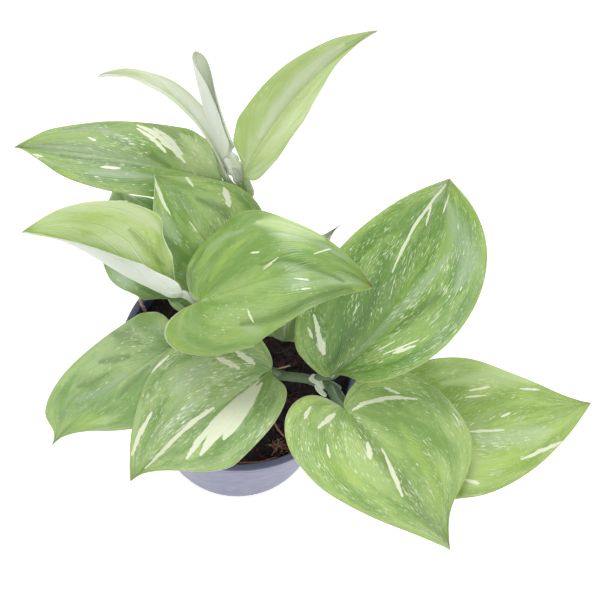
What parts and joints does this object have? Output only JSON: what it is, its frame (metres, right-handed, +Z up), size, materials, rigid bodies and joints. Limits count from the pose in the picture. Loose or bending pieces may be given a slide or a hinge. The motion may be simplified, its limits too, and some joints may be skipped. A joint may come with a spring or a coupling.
{
  "type": "potted rubicon scindapsus",
  "caption": "Young variegated aroid house plant with broad heart-shaped leaves on short vines, standing in the soil of a round tapered nursery pot.",
  "frame": {"origin": "middle of the pot's flat underside", "axes": "+Z up, -Y towards the side the plant is pictured from"},
  "size_m": [0.2988, 0.22, 0.2083],
  "materials": {
    "pot": "satin moulded plastic",
    "soil": "coarse peat and bark",
    "vine": "smooth green stem",
    "leaf_dark": "satin dark green leaf with cream flecks",
    "leaf_lime": "satin lime green leaf with cream flecks",
    "leaf_silvery": "satin silvery young leaf",
    "root": "dry fibrous root",
    "stick": "dry twig"
  },
  "bodies": {
    "root": {"pot": "pot", "soil": "soil", "vine_front": "vine", "vine_left": "vine", "vine_rear": "vine", "leaf_centre": "leaf_lime", "leaf_right_tall": "leaf_dark", "leaf_front_right": "leaf_lime", "leaf_right": "leaf_lime", "leaf_front": "leaf_dark", "leaf_front_left": "leaf_dark", "leaf_upper_left": "leaf_dark", "leaf_middle": "leaf_dark", "leaf_top_right": "leaf_lime", "leaf_top_left": "leaf_silvery", "leaf_furled": "leaf_silvery", "leaf_left_boat": "leaf_lime", "leaf_rear_left": "leaf_dark", "leaf_rear_right": "leaf_dark", "root_rim": "root", "root_curved": "root", "root_tuft": "root", "stick": "stick"}
  },
  "joints": []
}
